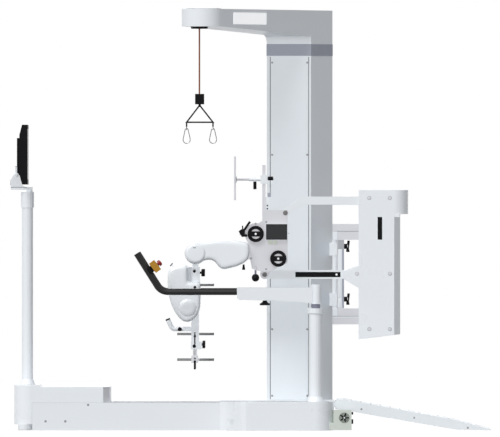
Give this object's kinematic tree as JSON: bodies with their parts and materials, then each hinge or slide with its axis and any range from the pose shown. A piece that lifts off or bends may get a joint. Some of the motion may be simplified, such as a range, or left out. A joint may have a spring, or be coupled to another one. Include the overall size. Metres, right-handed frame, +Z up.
{
  "type": "robotic gait trainer",
  "caption": "Gait training machine with a treadmill, a body weight lift on a gantry, a swinging leg orthosis on a door frame, handrails and a monitor.",
  "frame": {"origin": "on the floor in the patient's mid-plane, 0.40 m behind the leg orthosis's knees", "axes": "+X towards the ramp, opposite to the way the patient faces; +Y towards the column; +Z up"},
  "size_m": [2.7362, 1.505, 2.397],
  "materials": {
    "treadmill_frame": "satin white paint",
    "walking_belt": "matte black",
    "motor_housing": "smooth white plastic",
    "drive_motor": "satin grey paint",
    "left_pod": "smooth white plastic",
    "right_pod": "smooth white plastic",
    "power_box": "matte grey paint",
    "monitor_post": "satin white paint",
    "column_shell": "satin white paint",
    "gantry_arm": "satin white paint",
    "door_post": "satin white paint",
    "left_rail_post": "satin white paint",
    "right_rail_post": "satin white paint",
    "front_roller": "brushed",
    "rear_roller": "brushed",
    "cooling_fan": "matte black",
    "ramp": "satin white paint",
    "monitor_bracket": "satin white paint",
    "monitor": "matte black",
    "lift_rope": "braided brown",
    "spreader_bar": "matte black",
    "winch_drum": "brushed",
    "arm_pulley": "brushed",
    "front_carabiner": "brushed",
    "front_gate": "brushed",
    "rear_carabiner": "brushed",
    "rear_gate": "brushed",
    "door_frame": "satin light grey paint",
    "cabinet_shell": "satin white paint",
    "upper_link": "satin white paint",
    "lower_link": "satin white paint",
    "pelvis_frame": "satin light grey paint",
    "pad_slide": "satin white paint",
    "back_plate": "brushed",
    "left_pelvis_plate": "satin light grey paint",
    "left_hip_cover": "smooth white plastic",
    "left_depth_wheel": "matte black",
    "left_width_wheel": "matte black",
    "left_thigh_bar": "satin white paint",
    "left_knee_carrier": "satin white paint",
    "left_knee_cover": "smooth white plastic",
    "left_shank_bar": "satin white paint",
    "left_shank_slide": "brushed",
    "left_foot_lifter": "satin white paint",
    "left_rail_arm": "satin white paint",
    "left_grip": "matte black",
    "stop_box": "matte yellow",
    "right_pelvis_plate": "satin light grey paint",
    "right_hip_cover": "smooth white plastic",
    "right_depth_wheel": "matte black",
    "right_width_wheel": "matte black",
    "right_thigh_bar": "satin white paint",
    "right_knee_carrier": "satin white paint",
    "right_knee_cover": "smooth white plastic",
    "right_shank_bar": "satin white paint",
    "right_shank_slide": "brushed",
    "right_foot_lifter": "satin white paint",
    "right_rail_arm": "satin white paint",
    "right_grip": "matte black",
    "stop_button": "smooth red"
  },
  "bodies": {
    "base": {"treadmill_frame": "treadmill_frame", "walking_belt": "walking_belt", "motor_housing": "motor_housing", "drive_motor": "drive_motor", "left_pod": "left_pod", "right_pod": "right_pod", "power_box": "power_box", "monitor_post": "monitor_post", "column_shell": "column_shell", "gantry_arm": "gantry_arm", "door_post": "door_post", "left_rail_post": "left_rail_post", "right_rail_post": "right_rail_post"},
    "front_drum": {"front_roller": "front_roller"},
    "rear_drum": {"rear_roller": "rear_roller"},
    "fan": {"cooling_fan": "cooling_fan"},
    "ramp_leaf": {"ramp": "ramp"},
    "monitor_neck": {"monitor_bracket": "monitor_bracket"},
    "monitor_head": {"monitor": "monitor"},
    "lift": {"lift_rope": "lift_rope", "spreader_bar": "spreader_bar"},
    "drum": {"winch_drum": "winch_drum"},
    "arm_wheel": {"arm_pulley": "arm_pulley"},
    "front_hook": {"front_carabiner": "front_carabiner"},
    "front_gate_leaf": {"front_gate": "front_gate"},
    "rear_hook": {"rear_carabiner": "rear_carabiner"},
    "rear_gate_leaf": {"rear_gate": "rear_gate"},
    "door": {"door_frame": "door_frame", "cabinet_shell": "cabinet_shell"},
    "upper_arm": {"upper_link": "upper_link"},
    "lower_arm": {"lower_link": "lower_link"},
    "pelvis": {"pelvis_frame": "pelvis_frame"},
    "pad_carrier": {"pad_slide": "pad_slide"},
    "pad": {"back_plate": "back_plate"},
    "left_side": {"left_pelvis_plate": "left_pelvis_plate", "left_hip_cover": "left_hip_cover"},
    "left_depth_knob": {"left_depth_wheel": "left_depth_wheel"},
    "left_width_knob": {"left_width_wheel": "left_width_wheel"},
    "left_thigh": {"left_thigh_bar": "left_thigh_bar"},
    "left_knee_block": {"left_knee_carrier": "left_knee_carrier", "left_knee_cover": "left_knee_cover"},
    "left_shank": {"left_shank_bar": "left_shank_bar"},
    "left_ankle": {"left_shank_slide": "left_shank_slide"},
    "left_lifter": {"left_foot_lifter": "left_foot_lifter"},
    "left_rail": {"left_rail_arm": "left_rail_arm"},
    "left_handle": {"left_grip": "left_grip", "stop_box": "stop_box"},
    "right_side": {"right_pelvis_plate": "right_pelvis_plate", "right_hip_cover": "right_hip_cover"},
    "right_depth_knob": {"right_depth_wheel": "right_depth_wheel"},
    "right_width_knob": {"right_width_wheel": "right_width_wheel"},
    "right_thigh": {"right_thigh_bar": "right_thigh_bar"},
    "right_knee_block": {"right_knee_carrier": "right_knee_carrier", "right_knee_cover": "right_knee_cover"},
    "right_shank": {"right_shank_bar": "right_shank_bar"},
    "right_ankle": {"right_shank_slide": "right_shank_slide"},
    "right_lifter": {"right_foot_lifter": "right_foot_lifter"},
    "right_rail": {"right_rail_arm": "right_rail_arm"},
    "right_handle": {"right_grip": "right_grip"},
    "stop_plunger": {"stop_button": "stop_button"}
  },
  "joints": [
    {"name": "belt_drive", "type": "hinge", "parent": "base", "child": "front_drum", "pos_m": [-0.88, 0, 0.097], "axis": [0, 1, 0], "continuous": true},
    {"name": "rear_roller_spin", "type": "hinge", "parent": "base", "child": "rear_drum", "pos_m": [0.405, 0, 0.097], "axis": [0, 1, 0], "continuous": true},
    {"name": "fan_spin", "type": "hinge", "parent": "base", "child": "fan", "pos_m": [0.521, -0.517, 0.0724], "axis": [0, 1, 0], "continuous": true},
    {"name": "ramp_fold", "type": "hinge", "parent": "base", "child": "ramp_leaf", "pos_m": [0.5, 0, 0.145], "axis": [0, -1, 0], "range_deg": [0, 30]},
    {"name": "monitor_swivel", "type": "hinge", "parent": "base", "child": "monitor_neck", "pos_m": [-1.27, 0, 1.354], "axis": [0, 0, 1], "range_deg": [-90, 90]},
    {"name": "monitor_tilt", "type": "hinge", "parent": "monitor_neck", "child": "monitor_head", "pos_m": [-1.345, 0, 1.45], "axis": [0, -1, 0], "range_deg": [0, 20]},
    {"name": "lift_slide", "type": "slide", "parent": "base", "child": "lift", "axis": [0, 0, 1], "range_m": [0, 0.3], "deforming": ["lift_rope"]},
    {"name": "drum_turn", "type": "hinge", "parent": "base", "child": "drum", "pos_m": [0.27, 0, 2.05], "axis": [0, 1, 0], "range_deg": [-1, 345]},
    {"name": "pulley_turn", "type": "hinge", "parent": "base", "child": "arm_wheel", "pos_m": [-0.28175, 0.02793, 2.347], "axis": [0.8096, -0.587, 0], "range_deg": [-1, 500]},
    {"name": "front_hook_swing", "type": "hinge", "parent": "lift", "child": "front_hook", "pos_m": [-0.375, 0, 1.7161], "axis": [1, 0, 0], "range_deg": [-40, 40]},
    {"name": "front_gate_open", "type": "hinge", "parent": "front_hook", "child": "front_gate_leaf", "pos_m": [-0.3546, 0, 1.6567], "axis": [0, -1, 0], "range_deg": [0, 15], "stiffness_Nm_per_rad": 0.05},
    {"name": "rear_hook_swing", "type": "hinge", "parent": "lift", "child": "rear_hook", "pos_m": [-0.2246, 0, 1.7161], "axis": [1, 0, 0], "range_deg": [-40, 40]},
    {"name": "rear_gate_open", "type": "hinge", "parent": "rear_hook", "child": "rear_gate_leaf", "pos_m": [-0.2042, 0, 1.6567], "axis": [0, -1, 0], "range_deg": [0, 15], "stiffness_Nm_per_rad": 0.05},
    {"name": "door_swing", "type": "hinge", "parent": "base", "child": "door", "pos_m": [0.475, 0.68, 0.641], "axis": [0, 0, 1], "range_deg": [-4, 1.5]},
    {"name": "upper_link_turn", "type": "hinge", "parent": "door", "child": "upper_arm", "pos_m": [0.7575, 0, 1.235], "axis": [0, 1, 0], "range_deg": [-9.1, 9.1]},
    {"name": "lower_link_turn", "type": "hinge", "parent": "door", "child": "lower_arm", "pos_m": [0.6395, 0, 0.884], "axis": [0, 1, 0], "range_deg": [-9, 9]},
    {"name": "pelvis_level", "type": "hinge", "parent": "lower_arm", "child": "pelvis", "pos_m": [0.0695, 0, 0.884], "axis": [0, 1, 0], "range_deg": [-9.1, 9.1]},
    {"name": "pad_height", "type": "slide", "parent": "pelvis", "child": "pad_carrier", "axis": [0, 0, 1], "range_m": [-0.07, 0.05]},
    {"name": "pad_depth", "type": "slide", "parent": "pad_carrier", "child": "pad", "axis": [-1, 0, 0], "range_m": [0, 0.03]},
    {"name": "left_width", "type": "slide", "parent": "pelvis", "child": "left_side", "axis": [0, -1, 0], "range_m": [-0.03, 0.03]},
    {"name": "left_depth_wheel_turn", "type": "hinge", "parent": "left_side", "child": "left_depth_knob", "pos_m": [0.0188, -0.302, 1.1149], "axis": [0, 1, 0], "continuous": true},
    {"name": "left_width_wheel_turn", "type": "hinge", "parent": "left_side", "child": "left_width_knob", "pos_m": [0.147, -0.302, 0.9747], "axis": [0, 1, 0], "range_deg": [-173, 173]},
    {"name": "left_hip", "type": "hinge", "parent": "left_side", "child": "left_thigh", "pos_m": [-0.323, -0.302, 1.005], "axis": [0, 1, 0], "range_deg": [-30, 50]},
    {"name": "left_thigh_length", "type": "slide", "parent": "left_thigh", "child": "left_knee_block", "axis": [0, 0, -1], "range_m": [0, 0.05]},
    {"name": "left_knee", "type": "hinge", "parent": "left_knee_block", "child": "left_shank", "pos_m": [-0.368, -0.302, 0.696], "axis": [0, -1, 0], "range_deg": [0, 75]},
    {"name": "left_shank_length", "type": "slide", "parent": "left_shank", "child": "left_ankle", "axis": [0, 0, -1], "range_m": [0, 0.05]},
    {"name": "left_lifter_slide", "type": "slide", "parent": "left_shank", "child": "left_lifter", "axis": [-1, 0, 0], "range_m": [0, 0.03]},
    {"name": "left_rail_height", "type": "slide", "parent": "base", "child": "left_rail", "axis": [0, 0, 1], "range_m": [0, 0.2]},
    {"name": "left_grip_slide", "type": "slide", "parent": "left_rail", "child": "left_handle", "axis": [1, 0, 0], "range_m": [-0.06, 0.05]},
    {"name": "right_width", "type": "slide", "parent": "pelvis", "child": "right_side", "axis": [0, 1, 0], "range_m": [-0.03, 0.03]},
    {"name": "right_depth_wheel_turn", "type": "hinge", "parent": "right_side", "child": "right_depth_knob", "pos_m": [0.0188, 0.302, 1.1149], "axis": [0, 1, 0], "continuous": true},
    {"name": "right_width_wheel_turn", "type": "hinge", "parent": "right_side", "child": "right_width_knob", "pos_m": [0.147, 0.302, 0.9747], "axis": [0, 1, 0], "range_deg": [-173, 173]},
    {"name": "right_hip", "type": "hinge", "parent": "right_side", "child": "right_thigh", "pos_m": [-0.323, 0.302, 1.005], "axis": [0, 1, 0], "range_deg": [-30, 50]},
    {"name": "right_thigh_length", "type": "slide", "parent": "right_thigh", "child": "right_knee_block", "axis": [0, 0, -1], "range_m": [0, 0.05]},
    {"name": "right_knee", "type": "hinge", "parent": "right_knee_block", "child": "right_shank", "pos_m": [-0.368, 0.302, 0.696], "axis": [0, -1, 0], "range_deg": [0, 75]},
    {"name": "right_shank_length", "type": "slide", "parent": "right_shank", "child": "right_ankle", "axis": [0, 0, -1], "range_m": [0, 0.05]},
    {"name": "right_lifter_slide", "type": "slide", "parent": "right_shank", "child": "right_lifter", "axis": [-1, 0, 0], "range_m": [0, 0.03]},
    {"name": "right_rail_height", "type": "slide", "parent": "base", "child": "right_rail", "axis": [0, 0, 1], "range_m": [0, 0.2]},
    {"name": "right_grip_slide", "type": "slide", "parent": "right_rail", "child": "right_handle", "axis": [1, 0, 0], "range_m": [-0.06, 0.05]},
    {"name": "stop_press", "type": "slide", "parent": "left_handle", "child": "stop_plunger", "axis": [-0.797, 0, -0.604], "range_m": [0, 0.005], "stiffness_N_per_m": 400}
  ],
  "couplings": [
    {"joint": "rear_roller_spin", "follows": "belt_drive", "ratio": 1},
    {"joint": "drum_turn", "follows": "lift_slide", "rad_per_m": 20},
    {"joint": "pulley_turn", "follows": "lift_slide", "rad_per_m": 28.99},
    {"joint": "upper_link_turn", "follows": "lower_link_turn", "ratio": 1},
    {"joint": "pelvis_level", "follows": "lower_link_turn", "ratio": -1},
    {"joint": "left_width_wheel_turn", "follows": "left_width", "rad_per_m": 100},
    {"joint": "right_width_wheel_turn", "follows": "right_width", "rad_per_m": 100}
  ]
}
